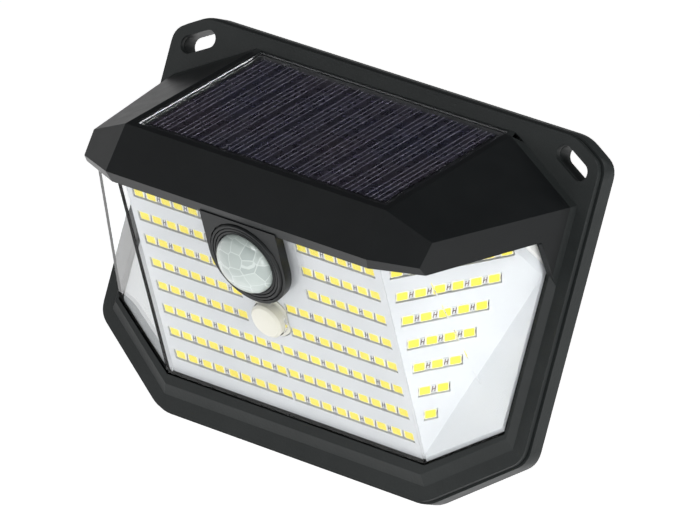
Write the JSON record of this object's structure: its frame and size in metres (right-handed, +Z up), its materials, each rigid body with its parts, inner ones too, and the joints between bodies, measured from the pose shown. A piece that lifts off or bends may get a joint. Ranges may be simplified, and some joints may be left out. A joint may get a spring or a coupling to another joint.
{
  "type": "solar flood light",
  "caption": "Wall light with a sloped solar panel on its hood, a clear three-sided lens over lamp boards, a motion sensor dome and a mode button.",
  "frame": {"origin": "centre of the back face, on the wall", "axes": "+Z up, -Y out of the wall towards the viewer, X across"},
  "size_m": [0.1514, 0.0564, 0.107],
  "materials": {
    "housing": "charcoal moulded plastic, smooth on the hood and textured on the flange",
    "lens_clear": "clear moulded plastic",
    "panel_film": "clear laminate over the solar cells",
    "solar_cell": "dark blue-black silicon with fine printed fingers",
    "seal": "black foam or silicone rubber",
    "lamp": "yellow phosphor in a white package",
    "reflector": "bright white",
    "white_board": "white solder mask",
    "laminate": "green glass-fibre laminate",
    "cream_plastic": "milky polyethylene",
    "plated_steel": "nickel-plated steel",
    "screw_steel": "zinc-plated steel",
    "black_plastic": "black moulded plastic",
    "switch_white": "white nylon",
    "connector_nylon": "natural nylon",
    "battery_sleeve": "blue shrink sleeve",
    "wire_red": "red insulation",
    "wire_black": "black insulation",
    "panel_back": "black laminate"
  },
  "bodies": {
    "housing": {"front_shell": "housing", "rear_cover": "housing", "case_seal": "seal", "lens": "lens_clear", "lens_seal": "seal", "lamps_row_1_left": "lamp", "lamps_row_1_right": "lamp", "lamps_row_2_left": "lamp", "lamps_row_2_right": "lamp", "lamps_row_3_left": "lamp", "lamps_row_3_right": "lamp", "lamps_row_4_left": "lamp", "lamps_row_4_right": "lamp", "lamps_row_5_left": "lamp", "lamps_row_5_right": "lamp", "lamps_row_6_left": "lamp", "lamps_row_6_right": "lamp", "lamps_row_7_left": "lamp", "lamps_row_7_right": "lamp", "lamps_row_8_left": "lamp", "lamps_row_8_right": "lamp", "reflector_front": "reflector", "reflector_right": "reflector", "reflector_left": "reflector", "lamp_board_front": "white_board", "lamp_board_right": "white_board", "lamp_board_left": "white_board", "side_lamps_right": "lamp", "side_lamps_left": "lamp", "panel_seal": "seal", "panel_board": "panel_back", "panel_cells": "solar_cell", "panel_cover": "panel_film", "sensor_dome": "cream_plastic", "sensor_bezel": "housing", "sensor_holder": "black_plastic", "motion_sensor": "plated_steel", "switch_body": "black_plastic", "control_board": "laminate", "controller_chip": "black_plastic", "panel_connector": "connector_nylon", "battery_connector": "connector_nylon", "battery": "battery_sleeve", "battery_holder": "black_plastic", "contact_positive": "plated_steel", "contact_negative": "plated_steel", "battery_wire_red": "wire_red", "panel_wire_red": "wire_red", "battery_wire_black": "wire_black", "panel_wire_black": "wire_black", "case_screw_1": "screw_steel", "case_screw_2": "screw_steel", "case_screw_3": "screw_steel", "case_screw_4": "screw_steel", "case_screw_5": "screw_steel", "case_screw_6": "screw_steel"},
    "button": {"mode_button": "cream_plastic"},
    "plunger": {"switch_plunger": "switch_white"}
  },
  "joints": [
    {"name": "button_press", "type": "slide", "parent": "housing", "child": "button", "axis": [0, 0.7669, 0.6417], "range_m": [0, 0.0005], "stiffness_N_per_m": 1500},
    {"name": "plunger_press", "type": "slide", "parent": "housing", "child": "plunger", "axis": [0, 0.7669, 0.6417], "range_m": [0, 0.0005]}
  ],
  "couplings": [
    {"joint": "plunger_press", "follows": "button_press", "ratio": 1}
  ]
}
